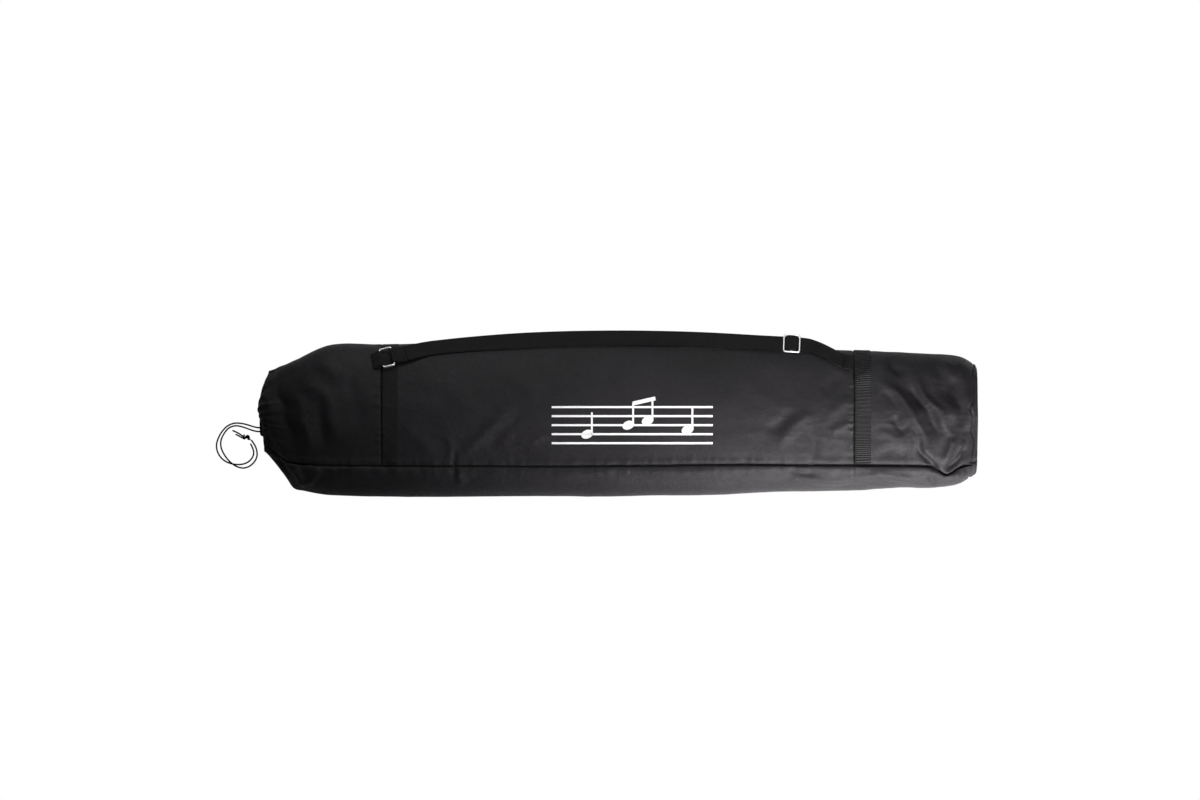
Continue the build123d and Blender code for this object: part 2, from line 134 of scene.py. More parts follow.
def mesh_object(name, points, faces, smooth=True, uvs=None):
    """A mesh from points in millimetres. uvs, one per point, are millimetres along and across the cloth."""
    mesh = bpy.data.meshes.new(name)
    mesh.from_pydata((np.asarray(points, float) * MM).tolist(), [], faces)
    mesh.update()
    if smooth:
        mesh.shade_smooth()
    if uvs is not None:
        layer = mesh.uv_layers.new(name="cloth")
        loops = np.empty(len(mesh.loops), np.int32)
        mesh.loops.foreach_get("vertex_index", loops)
        layer.data.foreach_set("uv", (np.asarray(uvs, float)[loops] * MM).astype(np.float32).ravel())
    obj = bpy.data.objects.new(name, mesh)
    bpy.context.scene.collection.objects.link(obj)
    return obj


def grid_faces(rows, columns, wrap=False, start=0):
    """Faces of a grid of points. wrap joins its last column to its first."""
    faces = []
    last = columns if wrap else columns - 1
    for i in range(rows - 1):
        for j in range(last):
            a, b = start + i * columns + j, start + i * columns + (j + 1) % columns
            faces.append((a, b, b + columns, a + columns))
    return faces


def closing_faces(rows, columns):
    """Faces that join the last row of a wrapped grid to its first row."""
    last = (rows - 1) * columns
    return [(last + k, last + (k + 1) % columns, (k + 1) % columns, k) for k in range(columns)]


def catmull(points, count):
    """A smooth curve through points, with count points to each stretch."""
    p = np.asarray(points, float)
    p = np.vstack([2 * p[0] - p[1], p, 2 * p[-1] - p[-2]])
    out = []
    for i in range(1, len(p) - 2):
        for k in range(count):
            t = k / count
            a, b, c, d = p[i - 1 : i + 3]
            square, cube = 2 * a - 5 * b + 4 * c - d, 3 * b - a - 3 * c + d
            out.append(0.5 * (2 * b + (c - a) * t + square * t * t + cube * t**3))
    out.append(p[-2])
    return np.array(out)


def tube(name, path, radius, sides=14, closed=False):
    """A round tube along path, in millimetres."""
    p = np.asarray(path, float)
    n = len(p)
    tangents = np.roll(p, -1, 0) - np.roll(p, 1, 0) if closed else np.gradient(p, axis=0)
    tangents /= np.linalg.norm(tangents, axis=1)[:, None]
    up = np.array([0.0, 0.0, 1.0]) if abs(tangents[0][2]) < 0.9 else np.array([0.0, 1.0, 0.0])
    points, normal = [], up - tangents[0] * up.dot(tangents[0])
    for q, t in zip(p, tangents):
        normal = normal - t * normal.dot(t)
        normal /= np.linalg.norm(normal)
        side = np.cross(t, normal)
        for k in range(sides):
            a = TURN * k / sides
            points.append(q + radius * (normal * math.cos(a) + side * math.sin(a)))
    faces = grid_faces(n, sides, wrap=True)
    if closed:
        faces += closing_faces(n, sides)
    else:
        faces += [tuple(range(sides))[::-1], tuple((n - 1) * sides + k for k in range(sides))]
    return mesh_object(name, points, faces)


def joined(name, parts):
    """One mesh from several, which it takes the place of."""
    points, faces = [], []
    for part in parts:
        start = len(points)
        points += [tuple(v.co / MM) for v in part.data.vertices]
        faces += [tuple(i + start for i in f.vertices) for f in part.data.polygons]
        bpy.data.objects.remove(part)
    return mesh_object(name, points, faces)


def finish_piece(obj, body, slot, material, *nodes):
    """Gives a piece its look, the body it rides on and the CAD nodes it replaces. The slot argument is not
    used.
    """
    obj.data.materials.clear()
    obj.data.materials.append(material)
    if body:
        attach(obj, body)
    if nodes:
        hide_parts(*nodes)
    return obj


# ---------- camera
def make_camera():
    data = bpy.data.cameras.new("camera")
    data.lens, data.sensor_width, data.clip_end = 200.0, 36.0, 40.0
    camera = bpy.data.objects.new("camera", data)
    bpy.context.scene.collection.objects.link(camera)
    distance = 1.866 * data.lens / data.sensor_width
    camera.location = (-0.028, 0.022, 0.09 + distance)
    bpy.context.scene.camera = camera


make_camera()


# ---------- materials
class Nodes:
    """Short names for building a node tree."""

    def __init__(self, name):
        self.material = bpy.data.materials.new(name)
        self.material.use_nodes = True
        self.tree = self.material.node_tree
        self.shader = self.tree.nodes["Principled BSDF"]

    def add(self, kind, settings=None, **sockets):
        node = self.tree.nodes.new(kind)
        for key, value in (settings or {}).items():
            setattr(node, key, value)
        for key, value in sockets.items():
            self.put(node.inputs[key.replace("_", " ")], value)
        return node

    def put(self, socket, value):
        if isinstance(value, bpy.types.NodeSocket):
            self.tree.links.new(value, socket)
        else:
            socket.default_value = value

    def set(self, name, value):
        self.put(self.shader.inputs[name], value)

    def math(self, operation, a, b=0.0):
        node = self.tree.nodes.new("ShaderNodeMath")
        node.operation = operation
        self.put(node.inputs[0], a)
        self.put(node.inputs[1], b)
        return node.outputs[0]

    def ramp(self, value, low, high, a, b):
        node = self.tree.nodes.new("ShaderNodeMapRange")
        self.put(node.inputs["Value"], value)
        for key, v in (("From Min", low), ("From Max", high), ("To Min", a), ("To Max", b)):
            node.inputs[key].default_value = v
        return node.outputs[0]


def cloth_material(name, colour, light, thread=0.55, roughness=0.58):
    """Woven coated nylon: fine weave, small crinkles and slightly uneven sheen."""
    n = Nodes(name)
    uv = n.add("ShaderNodeUVMap", {"uv_map": "cloth"}).outputs[0]
    scale = TURN / (thread * MM)
    split = n.add("ShaderNodeSeparateXYZ", Vector=uv)
    u = n.math("SINE", n.math("MULTIPLY", split.outputs[0], scale))
    v = n.math("SINE", n.math("MULTIPLY", split.outputs[1], scale))
    weave = n.math("MULTIPLY", u, v)
    place = n.add("ShaderNodeTexCoord").outputs["Object"]
    mottled = n.add("ShaderNodeTexNoise", Vector=place, Scale=38.0, Detail=6.0, Roughness=0.62).outputs[0]
    fine = n.add("ShaderNodeTexNoise", Vector=place, Scale=170.0, Detail=5.0, Roughness=0.65).outputs[0]
    broad = n.add("ShaderNodeTexNoise", Vector=place, Scale=9.0, Detail=3.0, Roughness=0.5).outputs[0]
    mix = n.add("ShaderNodeMix", {"data_type": "RGBA"})
    n.put(mix.inputs[0], n.ramp(broad, 0.3, 0.7, 0.0, 1.0))
    n.put(mix.inputs[6], (*colour, 1))
    n.put(mix.inputs[7], (*light, 1))
    n.set("Base Color", mix.outputs[2])
    n.set("Roughness", n.ramp(fine, 0.3, 0.7, roughness - 0.07, roughness + 0.08))
    n.set("Specular IOR Level", 0.27)
    n.set("Sheen Weight", 0.06)
    n.set("Sheen Roughness", 0.5)
    n.set("Sheen Tint", (0.8, 0.78, 0.85, 1))
    ridges = n.math("ABSOLUTE", n.math("SUBTRACT", mottled, 0.5))
    crease = n.add("ShaderNodeBump", Strength=0.38, Distance=0.0035, Height=ridges)
    small = n.add("ShaderNodeBump", Strength=0.35, Distance=0.0009, Height=fine, Normal=crease.outputs[0])
    woven = n.add("ShaderNodeBump", Strength=0.35, Distance=0.00012, Height=weave, Normal=small.outputs[0])
    n.set("Normal", woven.outputs[0])
    return n.material


def webbing_material(name, colour, light, rib=1.5, relief=1.0, wave=0.8):
    """Woven webbing: ribs across it, made wavy by the warp that runs along it. The colour is painted lighter
    on the rib tops and darker in the hollows between ribs: painted highlight and painted shade.
    """
    n = Nodes(name)
    uv = n.add("ShaderNodeUVMap", {"uv_map": "cloth"}).outputs[0]
    split = n.add("ShaderNodeSeparateXYZ", Vector=uv)
    along = n.math("MULTIPLY", split.outputs[0], TURN / (rib * MM))
    across = n.math("MULTIPLY", split.outputs[1], TURN / (2.1 * MM))
    ribs = n.math("SINE", n.math("ADD", along, n.math("MULTIPLY", n.math("SINE", across), wave)))
    lines = n.math("SINE", across)
    height = n.math("ADD", n.math("MULTIPLY", ribs, 1.0 - wave / 2), n.math("MULTIPLY", lines, wave / 2))
    place = n.add("ShaderNodeTexCoord").outputs["Object"]
    worn = n.add("ShaderNodeTexNoise", Vector=place, Scale=60.0, Detail=4.0).outputs[0]
    mix = n.add("ShaderNodeMix", {"data_type": "RGBA"})
    # Painted highlight and shade: the rib tops get the lighter colour and the hollows between ribs the darker
    # one; the noise makes the painted highlight uneven and also varies the roughness.
    raised = n.ramp(height, -0.4, 1.0, 0.0, 1.0)
    n.put(mix.inputs[0], n.math("MULTIPLY", raised, n.ramp(worn, 0.3, 0.7, 0.7, 1.0)))
    n.put(mix.inputs[6], (*colour, 1))
    n.put(mix.inputs[7], (*light, 1))
    n.set("Base Color", mix.outputs[2])
    n.set("Roughness", n.ramp(worn, 0.3, 0.7, 0.56, 0.70))
    n.set("Specular IOR Level", 0.18)
    n.set("Sheen Weight", 0.03)
    n.set("Sheen Roughness", 0.45)
    woven = n.add("ShaderNodeBump", Strength=min(1.0, 0.7 * relief), Distance=0.0003 * relief, Height=height)
    n.set("Normal", woven.outputs[0])
    return n.material


def cord_material():
    """Braided cord: small raised cells stand for the crossing strands."""
    n = Nodes("braided cord")
    place = n.add("ShaderNodeTexCoord").outputs["Object"]
    voronoi = n.add("ShaderNodeTexVoronoi", Vector=place, Scale=1100.0)
    n.set("Base Color", (0.008, 0.008, 0.009, 1))
    n.set("Roughness", 0.72)
    n.set("Specular IOR Level", 0.12)
    braid = n.add("ShaderNodeBump", Strength=0.6, Distance=0.0003, Height=voronoi.outputs[0])
    n.set("Normal", braid.outputs[0])
    return n.material


def metal_material(name, colour, roughness):
    """Plated wire with fine scratches."""
    n = Nodes(name)
    place = n.add("ShaderNodeTexCoord").outputs["Object"]
    scratch = n.add("ShaderNodeTexNoise", Vector=place, Scale=260.0, Detail=6.0, Roughness=0.7).outputs[0]
    n.set("Base Color", (*colour, 1))
    n.set("Metallic", 1.0)
    n.set("Roughness", n.ramp(scratch, 0.3, 0.7, roughness * 0.8, roughness * 1.3))
    rough = n.add("ShaderNodeBump", Strength=0.06, Distance=0.0002, Height=scratch)
    n.set("Normal", rough.outputs[0])
    return n.material


def print_material():
    """White ink that has sunk a little into the weave."""
    n = Nodes("white print")
    place = n.add("ShaderNodeTexCoord").outputs["Object"]
    worn = n.add("ShaderNodeTexNoise", Vector=place, Scale=420.0, Detail=5.0, Roughness=0.7).outputs[0]
    mix = n.add("ShaderNodeMix", {"data_type": "RGBA"})
    n.put(mix.inputs[0], n.ramp(worn, 0.36, 0.46, 0.0, 1.0))
    n.put(mix.inputs[6], (0.80, 0.79, 0.80, 1))
    n.put(mix.inputs[7], (0.95, 0.95, 0.955, 1))
    n.set("Base Color", mix.outputs[2])
    n.set("Roughness", 0.6)
    n.set("Specular IOR Level", 0.3)
    grain = n.add("ShaderNodeBump", Strength=0.25, Distance=0.0002, Height=worn)
    n.set("Normal", grain.outputs[0])
    return n.material


CLOTH = cloth_material("black nylon", (0.0075, 0.0064, 0.0080), (0.0115, 0.0100, 0.0124))
# For each webbing, the first colour is painted shade in the hollows between its ribs and the second is
# painted highlight on the rib tops.
WEBBING = webbing_material("black webbing", (0.0038, 0.0040, 0.0039), (0.0122, 0.0130, 0.0125), wave=0.5)
GIRTH = webbing_material("ribbed webbing", (0.0022, 0.0023, 0.0022), (0.029, 0.0296, 0.029), 3.3, 2, 0.15)
FAINT = webbing_material("flat webbing", (0.0062, 0.0058, 0.0066), (0.0128, 0.0120, 0.0134), 1.5, wave=0.5)
TAPE = webbing_material("binding tape", (0.008, 0.008, 0.008), (0.018, 0.018, 0.018), 1.0)
CORD_BLACK = cord_material()
RING_METAL = metal_material("plated ring", (0.86, 0.84, 0.83), 0.30)
SLIDER_METAL = metal_material("plated slider", (0.88, 0.86, 0.86), 0.36)
INK = print_material()


# ---------- drawstring
def cord_curve(name, points):
    data = bpy.data.curves.new(name, "CURVE")
    data.dimensions = "3D"
    data.bevel_depth = CORD * MM / 2
    data.bevel_resolution = 6
    data.use_fill_caps = True
    spline = data.splines.new("NURBS")
    spline.points.add(len(points) - 1)
    for point, place in zip(spline.points, points):
        point.co = (*(c * MM for c in place), 1.0)
    spline.order_u = 3
    spline.use_endpoint_u = True
    spline.resolution_u = 10
    obj = bpy.data.objects.new(name, data)
    bpy.context.scene.collection.objects.link(obj)
    return obj


def in_knot(points):
    """Points of the knot's own axes, x along its tails, put in place."""
    a = math.radians(KNOT_TURN)
    p = np.asarray(points, float)
    x = KNOT[0] + p[:, 0] * math.cos(a) - p[:, 1] * math.sin(a)
    y = KNOT[1] + p[:, 0] * math.sin(a) + p[:, 1] * math.cos(a)
    return np.stack([x, y, KNOT[2] + p[:, 2]], 1)


def knot_mesh():
    """Both ends tied as one in a pulled-up overhand knot: two cords side by side follow the same path."""
    loops = []
    for side in (-1, 1):
        path = []
        for k in range(120):
            t = -0.35 + 2.7 * math.pi * k / 119
            along = -5.0 + 10.0 * k / 119 + 1.2 * math.sin(2 * t)
            r = 1.9 + 0.75 * math.sin(t * 1.5) ** 2
            path.append((along + side * 0.5, r * math.cos(t + side * 0.42), r * math.sin(t + side * 0.42)))
        loops.append(tube("knot loop", in_knot(path), CORD / 2))
    return joined("drawstring_knot_tied", loops)


def tails_mesh():
    return joined("drawstring_tail_ends", [tube("tail", catmull(path, 10), CORD / 2) for path in TAILS])


def make_cords():
    knot = finish_piece(knot_mesh(), "bag", "cord", CORD_BLACK, "drawstring_knot")
    tails = finish_piece(tails_mesh(), "bag", "cord", CORD_BLACK, "drawstring_tails")
    for name, points, length in (("a", STRAND_A, 0.2070), ("b", STRAND_B, 0.1990)):
        strand = cord_curve(f"drawstring_cord_{name}", points)
        finish_piece(strand, "bag", "cord", CORD_BLACK, f"drawstring_strand_{name}")


make_cords()


# ---------- the bag's surface, measured from the CAD panels
def cad_tree(*names):
    points, faces = [], []
    for name in names:
        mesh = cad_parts[name].data
        start = len(points)
        points += [v.co / MM for v in mesh.vertices]
        faces += [tuple(i + start for i in f.vertices) for f in mesh.polygons]
    return BVHTree.FromPolygons([tuple(p) for p in points], faces)


COLUMNS = 720  # round the bag
STEP = 2.0  # along the bag
ANGLES = np.arange(COLUMNS) * TURN / COLUMNS  # from +Y towards +Z
XS = np.arange(MOUTH_END + 0.5, BASE_END - 0.4, STEP)


def measured_radii():
    """The distance from the core line to the outside of the CAD panels, on a coarse grid."""
    tree = cad_tree("mouth_panel", "middle_panel", "base_panel", "gusset_panel")
    stretches = ((MOUTH_END + 1, -440, 24), (-440, 500, 48), (500, BASE_END - 1, 14))
    xs = np.unique(np.concatenate([np.linspace(*stretch) for stretch in stretches]))
    angles = np.arange(180) * TURN / 180
    radii = np.zeros((len(xs), len(angles)))
    for i, x in enumerate(xs):
        for j, a in enumerate(angles):
            ray = Vector((0, math.cos(a), math.sin(a)))
            hit = tree.ray_cast(Vector((x, CORE[0], CORE[1])) + ray * 300, -ray)[0]
            radii[i, j] = math.hypot(hit.y - CORE[0], hit.z - CORE[1]) if hit else 0
    for i in range(len(xs)):
        row = radii[i]
        bad = row <= 0
        if bad.any():
            row[bad] = np.interp(angles[bad], angles[~bad], row[~bad], period=TURN)
    return xs, angles, radii


def blur(a, sigma, axis, wrap=False):
    size = int(3 * sigma) + 1
    kernel = np.exp(-0.5 * (np.arange(-size, size + 1) / sigma) ** 2)
    kernel /= kernel.sum()
    pad = [(0, 0), (0, 0)]
    pad[axis] = (size, size)
    b = np.pad(a, pad, mode="wrap" if wrap else "edge")
    return np.apply_along_axis(lambda row: np.convolve(row, kernel, "valid"), axis, b)


def smooth_radii():
    xs, angles, coarse = measured_radii()
    along = np.array([np.interp(XS, xs, coarse[:, j]) for j in range(len(angles))]).T
    fine = np.array([np.interp(ANGLES, angles, row, period=TURN) for row in along])
    fine = blur(fine, 9.0 / STEP, 0)
    return blur(fine, 7.0 * COLUMNS / 720, 1, wrap=True)


RADII = smooth_radii()
X2, A2 = np.meshgrid(XS, ANGLES, indexing="ij")
BASE_Y = CORE[0] + RADII * np.cos(A2)
BASE_Z = CORE[1] + RADII * np.sin(A2)


def seam_angles(x):
    """The angles of the front and back gusset seams, from the CAD part's sections."""
    low, high, under, top, seam = (np.interp(x, SECTIONS[:, 0], SECTIONS[:, k]) for k in range(1, 6))
    bottom = 1.35 + under
    front = np.arctan2(bottom + (0.747 + 0.002 * (seam - low)) * (top - bottom) - CORE[1], seam - CORE[0])
    back = np.arctan2(bottom - CORE[1], low + 0.11 * (high - low) - CORE[0])
    front = np.mod(front, TURN) + 0.10 * bump(x, 511, 15)
    return front, np.mod(back, TURN)


FRONT, BACK = seam_angles(XS)


# ---------- folds, gathers and crinkles
# Folds of the cloth: points along each fold (x, y), half width, height (negative for a hollow).
FOLDS = [
    # gathers behind the drawn mouth
    ([(-548, 46), (-543, 14), (-532, -30), (-506, -68)], 9, 4.2),
    ([(-528, 58), (-522, 22), (-514, -20), (-498, -66)], 7, -3.6),
    ([(-506, 52), (-497, 8), (-486, -34), (-482, -72)], 9, 3.4),
    ([(-490, 72), (-484, 42), (-450, 4), (-427, -46)], 13, 3.2),
    ([(-476, 40), (-462, -12), (-458, -62)], 10, -3.0),
    ([(-470, 84), (-440, 62), (-408, 58)], 14, 2.2),
    ([(-432, 74), (-410, 30), (-398, -30)], 16, -1.8),
    ([(-540, 66), (-520, 70), (-492, 80)], 8, 2.6),
    ([(-500, -80), (-491, -100), (-485, -114)], 6, 5.5),
    ([(-460, -81), (-472, -96), (-482, -112)], 6, 4.4),
    ([(-536, -62), (-520, -88), (-503, -108)], 7, -6.0),
    ([(-470, -80), (-440, -86), (-395, -84)], 7, 2.0),
    ([(-455, -108), (-400, -112), (-340, -113)], 9, -2.2),
    # middle panel
    ([(-160, 16), (-182, -2), (-200, -21), (-227, -48), (-240, -70)], 9, 2.6),
    ([(-148, 2), (-176, -24), (-205, -56)], 8, -1.6),
    ([(-204, -22), (-170, -30), (-118, -34), (-96, -44)], 12, 2.0),
    ([(-264, -30), (-258, -54), (-256, -74)], 7, 1.9),
    ([(-256, -50), (-252, -66), (-251, -79), (-247, -98)], 4.5, -2.4),
    ([(-246, -84), (-240, -98), (-234, -108)], 6, 2.0),
    ([(-336, 8), (-296, 12), (-240, 4), (-196, 14)], 16, 1.8),
    ([(-340, -16), (-310, -42), (-284, -66)], 14, 1.7),
    ([(-320, 62), (-270, 44), (-224, 12)], 15, 1.5),
    ([(-190, 72), (-150, 40), (-120, 22)], 14, 1.4),
    ([(-90, 62), (-40, 58), (10, 64)], 16, -1.4),
    ([(40, 76), (90, 62), (150, 52)], 16, 1.3),
    ([(150, 40), (190, 10), (206, -30), (214, -62)], 16, 2.0),
    ([(168, 56), (212, 42), (246, 10)], 15, 1.6),
    ([(232, -52), (246, -46), (268, -20), (292, -3), (318, -8)], 10, 3.2),
    ([(222, -30), (250, -18), (276, 8)], 10, -2.2),
    ([(286, -20), (306, -44), (312, -70)], 11, -2.0),
    ([(330, -28), (346, -20), (364, -14)], 7, 2.2),
    ([(318, -8), (342, 12), (364, 30)], 9, 2.0),
    ([(316, 30), (338, 52), (350, 66)], 10, -2.0),
    ([(180, -60), (240, -66), (330, -62)], 9, 1.4),
    # base panel
    ([(404, 66), (412, 52), (427, 32), (449, 2), (471, -27), (487, -54), (499, -82)], 9, 6.0),
    ([(420, 84), (432, 74), (446, 60)], 7, -4.0),
    ([(410, 40), (426, 10), (444, -16)], 7, -1.8),
    ([(456, 72), (468, 46), (494, 8), (516, -32), (524, -48)], 8, 3.6),
    ([(446, 48), (470, 20), (492, -14), (506, -44)], 9, -6.2),
    ([(446, -18), (454, -30), (466, -46), (482, -54), (492, -70)], 5, 3.2),
    ([(424, -2), (434, -22), (446, -34)], 6, -3.2),
    ([(402, -22), (426, -38), (448, -46)], 8, 2.2),
    ([(400, -60), (430, -56), (460, -66)], 8, -2.0),
    ([(462, -40), (482, -58), (497, -74), (507, -90)], 4.5, -6.2),
    ([(509, -90), (524, -76), (541, -46)], 5.0, -5.4),
    ([(519, -34), (516, -56), (510, -76)], 6, 4.6),
    ([(536, -40), (530, -62), (520, -78)], 4, 3.2),
    ([(516, 74), (524, 44), (532, 10), (540, -26)], 12, -7.5),
    ([(546, 44), (544, 0), (546, -30)], 7, 3.4),
    ([(500, 82), (516, 64), (524, 48)], 7, 2.4),
    ([(470, 86), (500, 60), (516, 20)], 7, -1.8),
    # gusset
    ([(254, -110), (290, -98), (330, -99), (380, -104), (432, -112)], 6, 2.8),
    ([(250, -86), (286, -90), (330, -86)], 5, -1.8),
    ([(360, -98), (410, -92), (470, -96), (492, -90)], 6, 2.4),
    ([(330, -108), (400, -106), (460, -108)], 7, -2.2),
    ([(494, -88), (498, -104), (502, -110)], 5, -3.6),
    ([(520, -92), (534, -96), (542, -88)], 5, 3.0),
    ([(-120, -94), (-60, -92), (0, -94)], 7, 1.4),
    ([(20, -90), (90, -94), (160, -90)], 7, 1.5),
    ([(60, -110), (140, -106), (210, -110)], 8, -1.3),
]


def distance_to_path(px, py, path):
    """Each point's distance to a bent line, and how far along the line it is nearest to, 0 to 1."""
    best = np.full(px.shape, 1e9)
    where = np.zeros(px.shape)
    lengths = [math.dist(a, b) for a, b in zip(path, path[1:])]
    total, done = sum(lengths), 0.0
    for (ax, ay), (bx, by), length in zip(path, path[1:], lengths):
        t = np.clip(((px - ax) * (bx - ax) + (py - ay) * (by - ay)) / length**2, 0, 1)
        d = np.hypot(px - ax - t * (bx - ax), py - ay - t * (by - ay))
        nearer = d < best
        best = np.where(nearer, d, best)
        where = np.where(nearer, (done + t * length) / total, where)
        done += length
    return best, where


def noise_field(seed, along, across):
    """Smooth random heights over the whole cloth, with features of about these sizes in millimetres."""
    rng = np.random.default_rng(seed)
    rows = int((BASE_END - MOUTH_END) / 2.0) + 8
    field = rng.standard_normal((rows, COLUMNS))
    f = np.fft.fft2(field)
    u = np.fft.fftfreq(rows, 2.0)[:, None] * along
    v = np.fft.fftfreq(COLUMNS, 600.0 / COLUMNS)[None, :] * across
    f *= np.exp(-2.2 * (u * u + v * v))
    out = np.real(np.fft.ifft2(f))
    out /= out.std()
    at = (XS - MOUTH_END) / 2.0
    low = np.floor(at).astype(int)
    t = (at - low)[:, None]
    return out[low] * (1 - t) + out[low + 1] * t


def ridged(field):
    return 1.0 - 2.0 * np.clip(np.abs(field), 0, 1.6) / 1.6


def displacement():
    """How far the cloth stands out from the CAD surface, in millimetres."""
    y, up = BASE_Y, np.sin(A2)
    seen = smoothstep(-0.35, 0.15, up)
    d = np.zeros_like(RADII)
    wander = noise_field(5, 70, 70) * 3.0
    for path, width, height in FOLDS:
        near, t = distance_to_path(X2 + wander, y + 0.6 * wander, path)
        ends = smoothstep(0.0, 0.3, t) * smoothstep(1.0, 0.7, t) * 0.9 + 0.1
        d += seen * height * ends * np.exp(-((near / width) ** 2))
    right = smoothstep(340, 420, X2)
    left = 1 - smoothstep(-470, -400, X2)
    middle = (1 - right) * (1 - left)
    crisp = bump(X2, -165, 75) * bump(y, -32, 34)
    soft = bump(X2, 270, 90) * bump(y, -10, 60)
    d += (0.8 * middle + 0.9 * left + 1.5 * right) * noise_field(11, 120, 80)
    d += (0.22 + 0.55 * crisp + 0.15 * soft + 0.45 * right) * ridged(noise_field(12, 56, 46)) * 0.8
    d += (0.10 + 0.45 * crisp + 0.12 * soft + 0.16 * right) * ridged(noise_field(13, 22, 20)) * 0.5
    d += (0.05 + 0.28 * crisp + 0.06 * right) * noise_field(14, 8, 8) * 0.3
    under = smoothstep(-0.5, -0.85, up)
    d *= 1 - 0.92 * under
    d += 4.5 * bump(X2, -504, 9) * bump(A2, math.radians(196), 0.30)
    line = [(-392.0, 80.0), (-359.0, 88.5), *[row[:2] for row in STRAP], (369.0, 78.7)]
    near = distance_to_path(X2, y, line)[0]
    calm = smoothstep(24, 14, near) * smoothstep(0.0, 0.3, up)
    return d * (1 - calm) - 0.6 * calm * smoothstep(335, 345, X2)


def seam_shape(d):
    """Grooves at the seams, with the cloth puffed and puckered beside them."""
    pucker = noise_field(21, 9, 24)
    for angles in (FRONT, BACK):
        away = np.angle(np.exp(1j * (A2 - angles[:, None]))) * RADII
        near = bump(away, 0, 9)
        d += 0.5 * pucker * near
        d += 0.8 * bump(np.abs(away), 5.0, 3.2)
        d -= np.interp(X2, [-400, 100, 400], [1.4, 2.2, 2.8]) * np.exp(-((away / 1.25) ** 2))
    side = noise_field(22, 24, 9)
    wrap = smoothstep(-1.0, 1.0, (np.cos(A2 - 0.5 * (FRONT + BACK)[:, None])) * -8 + 7.0)
    for x, depth in ((MOUTH_SEAM, 1.0), (BASE_SEAM, 2.4)):
        away = X2 - x
        free = smoothstep(66, 58, BASE_Y) + smoothstep(101, 107, BASE_Y)
        puff = 0.15 if x < 0 else 0.5
        d += (0.45 * side * bump(away, 0, 9) + puff * bump(np.abs(away), 5, 3)) * wrap * free
        d -= depth * np.exp(-((away / 1.3) ** 2)) * wrap * (1 - 0.85 * bump(BASE_Y, 112, 16))
    return d


def pleat_shape(d):
    """Small pleats that deepen towards the drawn mouth."""
    phase = 0.9 * np.sin(3 * A2) + 0.6 * np.sin(5 * A2 + 1.0)
    pleats = np.sin(19 * A2 + 2.2 * phase) + 0.45 * np.sin(31 * A2 + 3.0 * phase)
    grow = 1 - smoothstep(-548, -505, X2)
    depth = (1.3 - 0.8 * smoothstep(0.1, 0.6, np.sin(A2))) * smoothstep(-1.0, -0.4, np.sin(A2))
    return d + depth * grow**1.4 * pleats


def make_surface():
    d = pleat_shape(seam_shape(displacement()))
    y, z = BASE_Y, BASE_Z
    flat = np.stack([X2, y, z], 2)
    along = np.gradient(flat, axis=0)
    round_ = np.roll(flat, -1, 1) - np.roll(flat, 1, 1)
    normal = np.cross(round_, along)
    normal /= np.linalg.norm(normal, axis=2)[:, :, None]
    if (normal[:, 0] * np.array([0, 1.0, 0])).sum() < 0:
        normal = -normal
    points = flat + normal * d[:, :, None]
    points[:, :, 2] = np.maximum(points[:, :, 2], 1.3)
    along = np.gradient(points, axis=0)
    round_ = np.roll(points, -1, 1) - np.roll(points, 1, 1)
    shaded = np.cross(round_, along)
    shaded /= np.linalg.norm(shaded, axis=2)[:, :, None]
    if (shaded * normal).sum() < 0:
        shaded = -shaded
    return points, shaded


EXTRA = [seam + k * 0.7 for seam in (MOUTH_SEAM, BASE_SEAM) for k in range(-6, 7)]
XS = np.unique(np.concatenate([XS, EXTRA]))
RADII = np.array([np.interp(XS, X2[:, 0], RADII[:, j]) for j in range(COLUMNS)]).T
X2, A2 = np.meshgrid(XS, ANGLES, indexing="ij")
BASE_Y = CORE[0] + RADII * np.cos(A2)
BASE_Z = CORE[1] + RADII * np.sin(A2)
FRONT, BACK = seam_angles(XS)
POINTS, NORMALS = make_surface()


def on_bag(x, angle, out):
    """Points of the made surface at given x and angle, moved outwards by out."""
    i = np.clip(np.interp(x, XS, np.arange(len(XS))), 0, len(XS) - 1.001)
    j = np.mod(np.asarray(angle, float), TURN) / TURN * COLUMNS
    i0, j0 = np.floor(i).astype(int), np.floor(j).astype(int) % COLUMNS
    i1, j1 = i0 + 1, (j0 + 1) % COLUMNS
    s, t = (i - np.floor(i))[..., None], (j - np.floor(j))[..., None]

    def mixed(grid):
        near, far = (grid[i0, j] * (1 - s) + grid[i1, j] * s for j in (j0, j1))
        return near * (1 - t) + far * t

    return mixed(POINTS) + mixed(NORMALS) * np.asarray(out, float)[..., None]


# ---------- cloth panels
def mouth_edge(angle):
    """How far the panels stop short of the mouth end, round the bag: the top corner is drawn back."""
    return 6.5 * np.exp(-((np.angle(np.exp(1j * np.asarray(angle))) / 0.62) ** 2))


